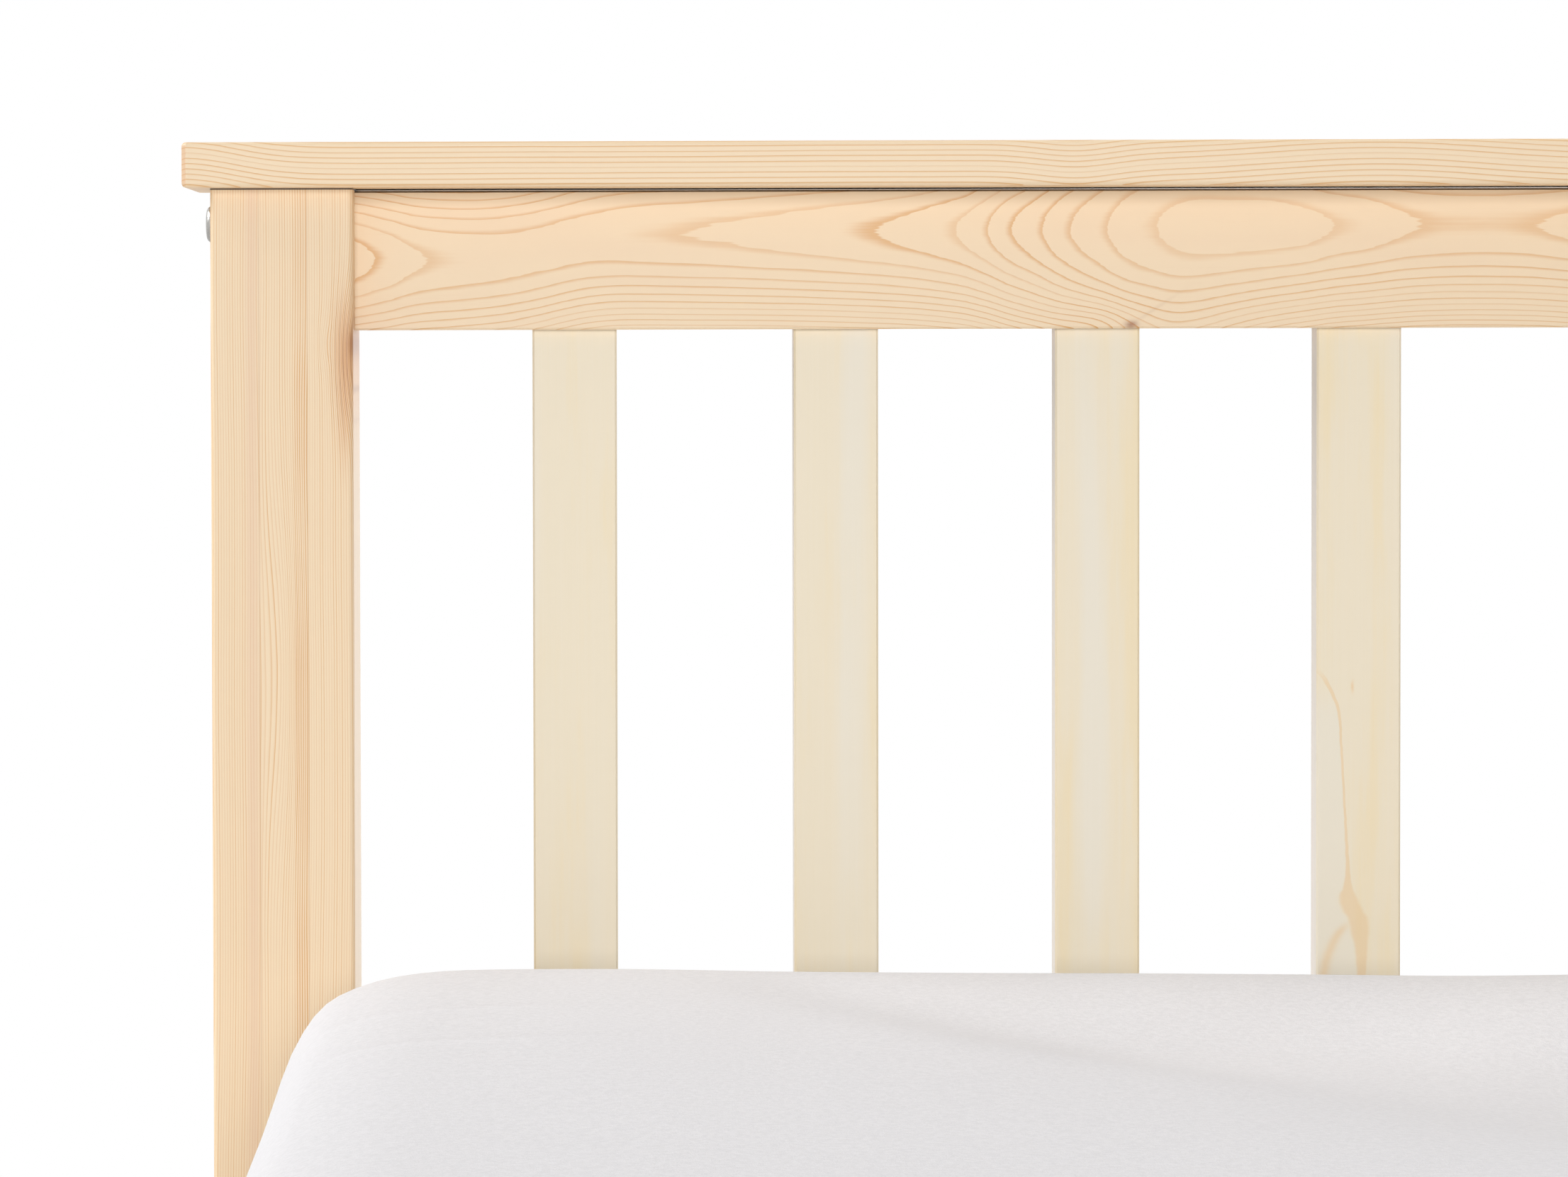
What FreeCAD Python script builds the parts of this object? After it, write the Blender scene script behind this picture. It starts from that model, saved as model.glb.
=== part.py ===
import FreeCAD, Part
import math
import os
import re
import Sketcher

# A single bed: a tall panel at the head and a low one at the foot, each made of two posts, a cap,
# two rails and a row of flat spindles, joined by bolted side rails that carry a slatted deck.
# X runs across the bed, +Y towards the head, +Z up, with the origin on the floor at the middle.

Vector = FreeCAD.Vector
Rotation = FreeCAD.Rotation

# All sizes in millimetres.
driving = {
    # mattress and fitted sheet
    "mattress_width": 963,
    "mattress_length": 1902,
    "mattress_height": 200,
    "mattress_corner": 70,       # radius of its corners, seen from above
    "mattress_top_edge": 56,     # rounding along the upper edge
    "mattress_bottom_edge": 30,
    "mattress_crown": 6,         # the middle of the top stands above its edge
    "mattress_waist": 4,         # each side is drawn in between its corners
    "sheet_thickness": 1.2,
    "sheet_hem": 110,            # of the sheet under the mattress
    "soft_gap": 0.3,
    "side_room": 5.5,            # between the mattress and a side rail
    "end_room": 8.5,             # between the mattress and a cap's edge
    # heights above the floor
    "head_height": 864,          # top of the head cap
    "foot_height": 566,          # top of the foot cap
    "deck_height": 342,          # top of the bed slats
    # posts
    "post_side": 57,
    "post_easing": 2,
    "post_bevel": 3,             # chamfer round the bottom end
    # caps
    "cap_thickness": 18,
    "cap_overhang": 10.5,        # past the posts, at the ends and on both sides
    "cap_easing": 1.7,
    "cap_gap": 0.8,              # between the cap and the top rail
    # rails of the panels
    "rail_thickness": 24,
    "board_chamfer": 0.8,        # along the rails, spindles and slats
    "top_rail_width": 56,
    "bottom_rail_width": 90,
    # flat spindles
    "spindle_width": 34,
    "spindle_thickness": 15,
    "mortise_depth": 12,
    # stub tenons: of every rail into the posts, and of the posts into the caps
    "tenon_width": 30,
    "tenon_thickness": 12,
    "tenon_length": 15,
    "top_tenon_drop": 34,        # its middle below the top rail's upper edge
    "bottom_tenon_drop": 25,     # its middle below the bottom rail's middle
    "side_tenon_drop": 40,       # its middle below the side rail's middle
    "cap_tenon_side": 30,
    "cap_tenon_length": 10,
    "mortise_play": 0.2,         # all round a tenon or a spindle's end
    # side rails and what they carry
    "side_rail_width": 140,
    "side_rail_thickness": 22,
    "side_rail_setback": 5,      # behind the outer faces of the posts
    "ledger_width": 32,
    "ledger_thickness": 22,
    "ledger_lift": 30,           # above the side rail's lower edge
    "ledger_setback": 50,        # short of the side rail's ends
    "slat_width": 70,
    "slat_thickness": 18,
    "slat_play": 3,              # between a slat's end and the side rail
    "strap_width": 25,
    "strap_thickness": 1.2,
    "strap_spread": 600,         # between the two straps
    # middle support
    "centre_rail_width": 60,
    "centre_rail_thickness": 22,
    "centre_rail_play": 0.3,     # at its ends and sides
    "leg_side": 44,
    "leg_spread": 700,           # between the two centre legs
    "leg_bridle_drop": 10,       # the bridle's cheeks end below the rail's top
    "hanger_plate": 2,
    "hanger_depth": 34,
    "hanger_height": 48,
    "hanger_flange": 16,
    # bolts and their barrel nuts
    "bolt_shank": 6,
    "bolt_head": 15,
    "bolt_head_height": 3.4,
    "bolt_head_flat": 10,        # across the top of the head
    "bolt_grip": 27,             # past the post, into the rail
    "bolt_play": 0.2,            # round the shank
    "bolt_run_out": 0.8,         # hole beyond the tip
    "thread_play": 0.1,
    "barrel_side": 10,
    "barrel_length": 16,
    "barrel_inset": 24,          # from the rail's end to the nut's axis
    "barrel_play": 0.15,
    "top_bolt_drop": 13,         # below the top rail's upper edge
    # glides
    "glide_side": 30,
    "glide_thickness": 5,
}
spindle_count = 8
slat_count = 13

# Lengths and places that follow from the driving sizes.
derived = {
    "frame_length": "mattress_length + 2 * (cap_overhang + end_room)",
    "side_face_x": "mattress_width / 2 + side_room",
    "side_rail_x": "side_face_x + side_rail_thickness / 2",
    "post_x": "side_face_x + side_rail_thickness + side_rail_setback - post_side / 2",
    "post_y": "(frame_length + post_side) / 2",
    "panel_width": "2 * post_x - post_side",
    "deck_underside": "deck_height - slat_thickness",
    "rail_foot": "deck_underside - ledger_width - ledger_lift",
    "side_rail_z": "rail_foot + side_rail_width / 2",
    "bottom_rail_z": "rail_foot + bottom_rail_width / 2",
    "bottom_rail_top": "rail_foot + bottom_rail_width",
    "head_rail_top": "head_height - cap_thickness - cap_gap",
    "foot_rail_top": "foot_height - cap_thickness - cap_gap",
    "spindle_pitch": f"(panel_width + spindle_width) / {spindle_count + 1}",
    "ledger_x": "side_face_x - ledger_thickness / 2",
    "ledger_z": "deck_underside - ledger_width / 2",
    "ledger_length": "frame_length - 2 * ledger_setback",
    "slat_length": "2 * (side_face_x - slat_play)",
    "slat_pitch": f"(frame_length + slat_width) / {slat_count + 1}",
    "rail_face_y": "post_y - rail_thickness / 2",
    "centre_rail_z": "deck_underside - centre_rail_width / 2",
    "centre_rail_foot": "deck_underside - centre_rail_width",
    "hanger_bore": "centre_rail_thickness / 2 + centre_rail_play",
    "hanger_wall": "hanger_bore + hanger_plate",
    "flange_x": "hanger_wall + hanger_flange / 2",
    "flange_z": "centre_rail_foot + hanger_height / 2",
    "leg_y": "leg_spread / 2",
    "shank_hole": "bolt_shank + 2 * bolt_play",
    "barrel_hole": "barrel_side + 2 * barrel_play",
    "mattress_z": "deck_height + 2 * soft_gap + sheet_thickness",
}
panels = {"head": 1, "foot": -1}
hands = {"left": -1, "right": 1}
along_x = Vector(1, 0, 0)
along_z = Vector(0, 0, 1)
quarter_turn = Rotation(along_z, 90)

doc = FreeCAD.newDocument("spindle_bed")
cells = doc.addObject("Spreadsheet::Sheet", "Sizes")
for row, (alias, number) in enumerate(driving.items(), 1):
    cells.set(f"A{row}", str(number))
    cells.setAlias(f"A{row}", alias)
doc.recompute()
pieces = []


def sized(formula):
    # a formula spelt out in the sheet's own cells
    def spelt(found):
        word = found.group()
        if word in derived:
            return f"({sized(derived[word])})"
        return f"Sizes.{word}" if word in driving else word
    return re.sub(r"[a-z_]+", spelt, str(formula))


def value(formula):
    return float(cells.evalExpression(sized(formula)))


def bind(item, name, formula):
    item.setExpression(name, sized(formula))


def place(item, x="0", y="0", z="0", turn=Rotation()):
    item.Placement = FreeCAD.Placement(Vector(value(x), value(y), value(z)), turn)
    for axis, formula in zip("xyz", (x, y, z)):
        bind(item, f"Placement.Base.{axis}", formula)
    return item


# Sketches, and the features made from them.

def new_body(label):
    made = doc.addObject("PartDesign::Body", label)
    made.Label = label
    return made


def sketch_on(body, name, role, lift="0"):
    plane = next(plane for plane in body.Origin.OriginFeatures if plane.Role == role)
    made = body.newObject("Sketcher::SketchObject", name)
    made.AttachmentSupport = [(plane, "")]
    made.MapMode = "FlatFace"
    bind(made, "AttachmentOffset.Base.z", lift)
    return made


def hold(sketch, kind, formula, *points):
    number = sketch.addConstraint(Sketcher.Constraint(kind, *points, value(formula)))
    bind(sketch, f"Constraints[{number}]", formula)


def outline(sketch, corners):
    # straight edges round a closed outline, each corner held by its two formulas
    points = [Vector(value(x), value(y), 0) for x, y in corners]
    first = sketch.GeometryCount
    for start, end in zip(points, points[1:] + points[:1]):
        sketch.addGeometry(Part.LineSegment(start, end))
    for number, (x, y) in enumerate(corners):
        after = first + (number + 1) % len(corners)
        sketch.addConstraint(Sketcher.Constraint("Coincident", first + number, 2, after, 1))
        hold(sketch, "DistanceX", x, -1, 1, first + number, 1)
        hold(sketch, "DistanceY", y, -1, 1, first + number, 1)


def rectangle(sketch, width, height, x="0", y="0"):
    left, right = (f"{x} {sign} ({width}) / 2" for sign in "-+")
    low, high = (f"{y} {sign} ({height}) / 2" for sign in "-+")
    outline(sketch, [(left, low), (right, low), (right, high), (left, high)])


def circles(sketch, across, centres):
    for x, y in centres:
        number = sketch.GeometryCount
        sketch.addGeometry(Part.Circle(Vector(value(x), value(y), 0), along_z, value(across) / 2))
        hold(sketch, "Radius", f"({across}) / 2", number)
        hold(sketch, "DistanceX", x, -1, 1, number, 3)
        hold(sketch, "DistanceY", y, -1, 1, number, 3)


def pad(body, sketch, length, both_ways=False, reverse=False):
    made = body.newObject("PartDesign::Pad", "Pad")
    made.Profile = sketch
    made.Midplane = both_ways
    made.Reversed = reverse
    bind(made, "Length", length)
    doc.recompute()
    return made


def pocket(body, sketch, depth=None, along_normal=False):
    # to a depth below the sketch, or right through where no depth is given
    uncut = body.Shape.Volume
    made = body.newObject("PartDesign::Pocket", "Pocket")
    made.Profile = sketch
    if depth is None:
        made.Type = "ThroughAll"
        made.Midplane = True
    else:
        made.Reversed = along_normal
        bind(made, "Length", depth)
    doc.recompute()
    if body.Shape.Volume >= uncut:
        raise RuntimeError(f"{sketch.Label} cuts nothing from {body.Label}")
    return made


def drill(body, name, role, across, centres, depth=None, lift="0", along_normal=False):
    holes = sketch_on(body, name, role, lift)
    circles(holes, across, centres)
    return pocket(body, holes, depth, along_normal)


def finish_edges(body, kind, size_name, size, run):
    # round or chamfer the edges that run along a direction
    dress_edges(body, kind, size_name, size,
                lambda start, end: abs((end - start).normalize().dot(run)) > 0.99)


def dress_edges(body, kind, size_name, size, chosen):
    base = body.Tip
    names = [f"Edge{number}" for number, edge in enumerate(base.Shape.Edges, 1)
             if chosen(edge.Vertexes[0].Point, edge.Vertexes[-1].Point)]
    made = body.newObject(kind, "Edges")
    made.Base = (base, names)
    bind(made, size_name, size)
    doc.recompute()


def board(label, role, width, height, thickness, grain):
    # a board centred on its own origin, its long edges chamfered along the grain
    made = new_body(label)
    face = sketch_on(made, "Face", role)
    rectangle(face, width, height)
    pad(made, face, thickness, both_ways=True)
    finish_edges(made, "PartDesign::Chamfer", "Size", "board_chamfer", grain)
    pieces.append(made)
    return made


def for_both_ends(body, name, length, draw, feature):
    # the same sketch on both ends of a board that runs along its own X
    for end, lift in (("Near", f"-({length}) / 2"), ("Far", f"({length}) / 2")):
        sketch = sketch_on(body, f"{end}{name}", "YZ_Plane", lift)
        draw(sketch)
        feature(body, sketch, end == "Near")


def bolt_ends(body, length, height):
    # blind holes along the board for the connector bolts
    for_both_ends(body, "Bolt", length,
                  lambda sketch: circles(sketch, "shank_hole", [("0", height)]),
                  lambda body, sketch, near: pocket(body, sketch, "bolt_grip + bolt_run_out",
                                                    near))


def tenon_ends(body, length, middle):
    for_both_ends(body, "Tenon", length,
                  lambda sketch: rectangle(sketch, "tenon_thickness", "tenon_width", "0", middle),
                  lambda body, sketch, near: pad(body, sketch, "tenon_length", reverse=near))


def drill_barrels(body, length, thickness, height, face):
    # cross holes for the barrel nuts, from the board's +Y face or its -Y face
    centres = [(f"{sign}(({length}) / 2 - barrel_inset)", height) for sign in ("", "-")]
    depth = f"({thickness} + barrel_length) / 2 + barrel_play"
    drill(body, "BarrelHoles", "XZ_Plane", "barrel_hole", centres, depth,
          f"{-face} * ({thickness}) / 2", face > 0)


def socket(body, name, role, width, height, x, y, depth, lift, along_normal=False):
    # a rectangular mortise, larger all round than what it takes
    cutter = sketch_on(body, name, role, lift)
    rectangle(cutter, f"{width} + 2 * mortise_play", f"{height} + 2 * mortise_play", x, y)
    return pocket(body, cutter, f"{depth} + mortise_play", along_normal)


def spindle_mortises(body, lift, along_normal):
    first = socket(body, "SpindleMortise", "XY_Plane", "spindle_width", "spindle_thickness",
                   f"{(1 - spindle_count) / 2} * spindle_pitch", "0", "mortise_depth",
                   lift, along_normal)
    row = body.newObject("PartDesign::LinearPattern", "MortiseRow")
    row.Originals = [first]
    row.Direction = (first.Profile[0], ["H_Axis"])
    row.Occurrences = spindle_count
    bind(row, "Length", f"{spindle_count - 1} * spindle_pitch")
    body.Tip = row
    doc.recompute()


# Head and foot panels.

def post(end, hand):
    facing_y, facing_x = panels[end], hands[hand]
    made = new_body(f"{end}_post_{hand}")
    section = sketch_on(made, "Section", "XY_Plane", "glide_thickness")
    rectangle(section, "post_side", "post_side")
    pad(made, section, f"{end}_height - cap_thickness - glide_thickness")
    bevel_bottom(made, "post_bevel")
    finish_edges(made, "PartDesign::Fillet", "Radius", "post_easing", along_z)
    tenon = sketch_on(made, "CapTenon", "XY_Plane", f"{end}_height - cap_thickness")
    rectangle(tenon, "cap_tenon_side", "cap_tenon_side")
    pad(made, tenon, "cap_tenon_length")
    bolt_z = f"{end}_rail_top - top_bolt_drop"
    drill(made, "PanelBolts", "YZ_Plane", "shank_hole", [("0", bolt_z), ("0", "bottom_rail_z")])
    for name, z in (("TopMortise", f"{end}_rail_top - top_tenon_drop"),
                    ("BottomMortise", "bottom_rail_z - bottom_tenon_drop")):
        socket(made, name, "YZ_Plane", "tenon_thickness", "tenon_width", "0", z, "tenon_length",
               f"{-facing_x} * post_side / 2", facing_x > 0)
    rail_x = f"{facing_x} * (side_rail_x - post_x)"
    drill(made, "SideBolt", "XZ_Plane", "shank_hole", [(rail_x, "side_rail_z")])
    socket(made, "SideMortise", "XZ_Plane", "tenon_thickness", "tenon_width", rail_x,
           "side_rail_z - side_tenon_drop", "tenon_length", f"{facing_y} * post_side / 2",
           facing_y < 0)
    place(made, f"{facing_x} * post_x", f"{facing_y} * post_y")
    pieces.append(made)


def bevel_bottom(body, size):
    base = body.Tip
    faces = base.Shape.Faces
    lowest = min(range(len(faces)), key=lambda number: faces[number].CenterOfMass.z)
    made = body.newObject("PartDesign::Chamfer", "Bevel")
    made.Base = (base, [f"Face{lowest + 1}"])
    bind(made, "Size", size)
    doc.recompute()


def cap(end):
    made = new_body(f"{end}_cap")
    face = sketch_on(made, "Face", "XY_Plane")
    rectangle(face, "2 * post_x + post_side + 2 * cap_overhang", "post_side + 2 * cap_overhang")
    pad(made, face, "cap_thickness", both_ways=True)
    finish_edges(made, "PartDesign::Chamfer", "Size", "cap_easing", along_z)
    dress_edges(made, "PartDesign::Fillet", "Radius", "cap_easing",
                lambda start, end: abs(start.z - end.z) < 0.001)
    for name, x in (("LeftMortise", "-post_x"), ("RightMortise", "post_x")):
        socket(made, name, "XY_Plane", "cap_tenon_side", "cap_tenon_side", x, "0",
               "cap_tenon_length", "-cap_thickness / 2", True)
    place(made, "0", f"{panels[end]} * post_y", f"{end}_height - cap_thickness / 2")
    pieces.append(made)


def bolted_rail(label, length, width, thickness, bolt, tenon, face):
    # each end has a stub tenon and a bolt that draws it into a post
    made = board(label, "XZ_Plane", length, width, thickness, along_x)
    tenon_ends(made, length, tenon)
    bolt_ends(made, length, bolt)
    drill_barrels(made, length, thickness, bolt, face)
    return made


def top_rail(end):
    half = "top_rail_width / 2"
    made = bolted_rail(f"{end}_top_rail", "panel_width", "top_rail_width", "rail_thickness",
                       f"{half} - top_bolt_drop", f"{half} - top_tenon_drop", panels[end])
    spindle_mortises(made, f"-{half}", True)
    place(made, "0", f"{panels[end]} * post_y", f"{end}_rail_top - {half}")


def bottom_rail(end):
    made = bolted_rail(f"{end}_bottom_rail", "panel_width", "bottom_rail_width",
                       "rail_thickness", "0", "-bottom_tenon_drop", panels[end])
    spindle_mortises(made, "bottom_rail_width / 2", False)
    place(made, "0", f"{panels[end]} * post_y", "bottom_rail_z")


def spindle(end, number):
    clear = f"{end}_rail_top - top_rail_width - bottom_rail_top"
    made = board(f"{end}_spindle_{number + 1}", "XZ_Plane", "spindle_width",
                 f"{clear} + 2 * mortise_depth", "spindle_thickness", along_z)
    place(made, f"{number - (spindle_count - 1) / 2} * spindle_pitch",
          f"{panels[end]} * post_y", f"bottom_rail_top + ({clear}) / 2")


# Side rails and the deck that they carry.

def side_rail(hand):
    made = bolted_rail(f"side_rail_{hand}", "frame_length", "side_rail_width",
                       "side_rail_thickness", "0", "-side_tenon_drop", hands[hand])
    place(made, f"{hands[hand]} * side_rail_x", "0", "side_rail_z", quarter_turn)


def ledger(hand):
    made = board(f"ledger_{hand}", "XZ_Plane", "ledger_length", "ledger_width",
                 "ledger_thickness", along_x)
    place(made, f"{hands[hand]} * ledger_x", "0", "ledger_z", quarter_turn)


def bed_slat(number):
    made = board(f"bed_slat_{number + 1:02d}", "XY_Plane", "slat_length", "slat_width",
                 "slat_thickness", along_x)
    place(made, "0", f"{number - (slat_count - 1) / 2} * slat_pitch",
          "deck_height - slat_thickness / 2")


def slat_strap(hand):
    made = doc.addObject("Part::Box", f"slat_strap_{hand}")
    run = f"{slat_count - 1} * slat_pitch + slat_width"
    bind(made, "Length", "strap_width")
    bind(made, "Width", run)
    bind(made, "Height", "strap_thickness")
    place(made, f"({hands[hand]} * strap_spread - strap_width) / 2", f"-({run}) / 2",
          "deck_underside - strap_thickness")
    pieces.append(made)


# Centre rail, its hangers and its legs.

def centre_rail():
    made = board("centre_rail", "XZ_Plane", "2 * (rail_face_y - centre_rail_play)",
                 "centre_rail_width", "centre_rail_thickness", along_x)
    place(made, "0", "0", "centre_rail_z", quarter_turn)


def hanger():
    # a folded steel saddle, its flanges lying against the bottom rail at y = 0
    made = new_body("Hanger")
    saddle = sketch_on(made, "Saddle", "XZ_Plane")
    seat, top = "centre_rail_foot", "centre_rail_foot + hanger_height"
    outline(saddle, [("-hanger_wall", f"{seat} - hanger_plate"),
                     ("hanger_wall", f"{seat} - hanger_plate"), ("hanger_wall", top),
                     ("hanger_bore", top), ("hanger_bore", seat), ("-hanger_bore", seat),
                     ("-hanger_bore", top), ("-hanger_wall", top)])
    pad(made, saddle, "hanger_depth")
    flanges = sketch_on(made, "Flanges", "XZ_Plane")
    for sign in ("", "-"):
        rectangle(flanges, "hanger_flange", "hanger_height", f"{sign}flange_x", "flange_z")
    pad(made, flanges, "hanger_plate")
    return made


def centre_leg():
    made = new_body("CentreLeg")
    section = sketch_on(made, "Section", "XY_Plane", "glide_thickness")
    rectangle(section, "leg_side", "leg_side")
    pad(made, section, "deck_underside - leg_bridle_drop - glide_thickness")
    finish_edges(made, "PartDesign::Chamfer", "Size", "board_chamfer", along_z)
    bridle = sketch_on(made, "Bridle", "XZ_Plane")
    rectangle(bridle, "2 * hanger_bore", "centre_rail_width", "0", "centre_rail_z")
    pocket(made, bridle)
    return made


# Fasteners and glides, each made once and then set out in its places.

def connector_bolt():
    # head above the XY plane, shank below it
    made = new_body("ConnectorBolt")
    profile = sketch_on(made, "Profile", "XZ_Plane")
    shank, head, length = "bolt_shank / 2", "bolt_head / 2", "post_side + bolt_grip"
    outline(profile, [("0", f"-({length})"), (shank, f"-({length})"), (shank, "0"), (head, "0"),
                      ("bolt_head_flat / 2", "bolt_head_height"), ("0", "bolt_head_height")])
    turned = made.newObject("PartDesign::Revolution", "Turned")
    turned.Profile = profile
    turned.ReferenceAxis = (profile, ["V_Axis"])
    turned.Angle = 360
    doc.recompute()
    return made


def cylinder(label, across, length):
    made = doc.addObject("Part::Cylinder", label)
    bind(made, "Radius", f"({across}) / 2")
    bind(made, "Height", length)
    return made


def glide():
    made = new_body("Glide")
    face = sketch_on(made, "Face", "XY_Plane")
    rectangle(face, "glide_side", "glide_side")
    pad(made, face, "glide_thickness")
    finish_edges(made, "PartDesign::Chamfer", "Size", "board_chamfer", along_z)
    return made


def barrel_nut():
    # its own axis along Z through the middle, the bolt's thread along X
    barrel = place(cylinder("Barrel", "barrel_side", "barrel_length"), z="-barrel_length / 2")
    thread = cylinder("BarrelThread", "bolt_shank + 2 * thread_play", "2 * barrel_side")
    place(thread, x="-barrel_side", turn=Rotation(Vector(0, 1, 0), 90))
    made = doc.addObject("Part::Cut", "BarrelNut")
    made.Base = barrel
    made.Tool = thread
    return made


def group(label, spots):
    # copies of one master, each spot its place and its turn
    links = []
    for number, (master, x, y, z, turn) in enumerate(spots, 1):
        link = doc.addObject("App::Link", f"{label}_{number}")
        link.LinkedObject = master
        place(link, x, y, z, turn)
        links.append(link)
    made = doc.addObject("Part::Compound", label)
    made.Links = links
    pieces.append(made)


def bolts_and_nuts():
    bolt, nut = connector_bolt(), barrel_nut()
    panel_bolts, side_rail_bolts, nuts = [], [], []
    for end, facing_y in panels.items():
        for facing_x in hands.values():
            post_middle = f"{facing_y} * post_y"
            head_turn = Rotation(Vector(0, 1, 0), 90 * facing_x)
            for z in (f"{end}_rail_top - top_bolt_drop", "bottom_rail_z"):
                panel_bolts.append((bolt, f"{facing_x} * (post_x + post_side / 2)", post_middle,
                                    z, head_turn))
                nuts.append((nut, f"{facing_x} * (panel_width / 2 - barrel_inset)", post_middle,
                             z, Rotation(along_x, 90)))
            x = f"{facing_x} * side_rail_x"
            side_rail_bolts.append((bolt, x, f"{facing_y} * (post_y + post_side / 2)",
                                    "side_rail_z", Rotation(along_x, -90 * facing_y)))
            nuts.append((nut, x, f"{facing_y} * (frame_length / 2 - barrel_inset)",
                         "side_rail_z", quarter_turn.multiply(Rotation(along_x, 90))))
    group("panel_bolts", panel_bolts)
    group("side_rail_bolts", side_rail_bolts)
    group("barrel_nuts", nuts)


# Mattress and fitted sheet: closed sections stacked from the underside to the crown.

def soft_section(inset, z):
    # a rounded rectangle whose four sides are drawn in between their corners
    half_x = value("mattress_width / 2") - inset
    half_y = value("mattress_length / 2") - inset
    round_off = value("mattress_corner")
    diagonal = round_off * (1 - math.sqrt(0.5))
    waist = value("mattress_waist")
    edges = []
    for turn in range(4):
        spin = Rotation(along_z, 90 * turn)
        out, side = (half_x, half_y) if turn % 2 == 0 else (half_y, half_x)
        side_arc = (Vector(out, round_off - side, z), Vector(out - waist, 0, z),
                    Vector(out, side - round_off, z))
        corner_arc = (Vector(out, side - round_off, z), Vector(out - diagonal, side - diagonal, z),
                      Vector(out - round_off, side, z))
        for arc in (side_arc, corner_arc):
            edges.append(Part.Arc(*(spin.multVec(point) for point in arc)).toShape())
    return Part.Wire(edges)


def soft_form(grow):
    # the mattress's own form, or one that stands clear of it by a distance
    height, crown = value("mattress_height"), value("mattress_crown")
    low, high = value("mattress_bottom_edge"), value("mattress_top_edge")
    shoulder = height - crown - high
    sections = []
    for swing in (0, 90):
        reach = low + grow
        sections.append((low - reach * math.sin(math.radians(swing)),
                         low - reach * math.cos(math.radians(swing))))
    for swing in (0, 30, 60, 90):
        reach = high + grow
        sections.append((high - reach * math.cos(math.radians(swing)),
                         shoulder + reach * math.sin(math.radians(swing))))
    # the top rises to its crown half way in from the rounded edge
    sections.append(((high + value("mattress_width / 2")) / 2, height + grow))
    return Part.makeLoft([soft_section(*section) for section in sections], True, True)


def soft_piece(label, shape):
    made = doc.addObject("Part::Feature", label)
    made.Shape = shape
    place(made, z="mattress_z")
    pieces.append(made)


def fitted_sheet():
    gap, cloth, hem = value("soft_gap"), value("sheet_thickness"), value("sheet_hem")
    window_x = value("mattress_width") - 2 * hem
    window_y = value("mattress_length") - 2 * hem
    corner = Vector(-window_x / 2, -window_y / 2, -2 * (gap + cloth))
    window = Part.makeBox(window_x, window_y, 2 * (gap + cloth), corner)
    return soft_form(gap + cloth).cut(soft_form(gap)).cut(window)


for end in panels:
    for hand in hands:
        post(end, hand)
    cap(end)
    top_rail(end)
    bottom_rail(end)
    for number in range(spindle_count):
        spindle(end, number)
for hand in hands:
    side_rail(hand)
    ledger(hand)
    slat_strap(hand)
for number in range(slat_count):
    bed_slat(number)
centre_rail()
saddle, leg, foot = hanger(), centre_leg(), glide()
group("centre_rail_hangers", [(saddle, "0", "rail_face_y", "0", Rotation()),
                              (saddle, "0", "-rail_face_y", "0", Rotation(along_z, 180))])
group("centre_legs", [(leg, "0", y, "0", Rotation()) for y in ("leg_y", "-leg_y")])
stands = [("0", "leg_y"), ("0", "-leg_y")]
stands += [(f"{x} * post_x", f"{y} * post_y") for x in hands.values() for y in panels.values()]
group("glides", [(foot, x, y, "0", Rotation()) for x, y in stands])
bolts_and_nuts()
soft_piece("mattress", soft_form(0))
soft_piece("fitted_sheet", fitted_sheet())

doc.recompute()
for item in doc.Objects:
    if "Invalid" in item.State or "Error" in item.State:
        raise RuntimeError(f"{item.Label} did not build: {item.State}")
os.makedirs("parts", exist_ok=True)
for piece in pieces:
    if piece.Shape.isNull() or not piece.Shape.isValid():
        raise RuntimeError(f"{piece.Label} has no valid shape")
    piece.Shape.exportStep(f"parts/{piece.Label}.step")
print(len(pieces), "pieces")
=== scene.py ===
import math

import bmesh
import bpy
import numpy as np
from mathutils import Matrix, Vector, noise


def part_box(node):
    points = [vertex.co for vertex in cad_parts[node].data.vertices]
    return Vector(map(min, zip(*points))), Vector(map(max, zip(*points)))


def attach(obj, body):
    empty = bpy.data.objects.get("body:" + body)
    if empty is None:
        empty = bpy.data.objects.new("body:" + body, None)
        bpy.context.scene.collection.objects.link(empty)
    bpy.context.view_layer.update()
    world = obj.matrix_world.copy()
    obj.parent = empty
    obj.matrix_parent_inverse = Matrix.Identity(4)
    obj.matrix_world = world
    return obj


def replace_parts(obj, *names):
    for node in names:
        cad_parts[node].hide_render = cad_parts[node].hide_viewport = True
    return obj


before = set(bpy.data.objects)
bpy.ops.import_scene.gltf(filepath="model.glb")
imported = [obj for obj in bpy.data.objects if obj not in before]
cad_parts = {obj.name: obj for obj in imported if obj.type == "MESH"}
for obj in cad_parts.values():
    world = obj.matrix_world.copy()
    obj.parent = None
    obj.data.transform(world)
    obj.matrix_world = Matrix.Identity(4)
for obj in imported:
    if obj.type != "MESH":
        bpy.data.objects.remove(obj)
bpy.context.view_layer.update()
mm = 0.001


# Node trees: inputs are given by name or by number, as sockets or as plain values.

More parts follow.
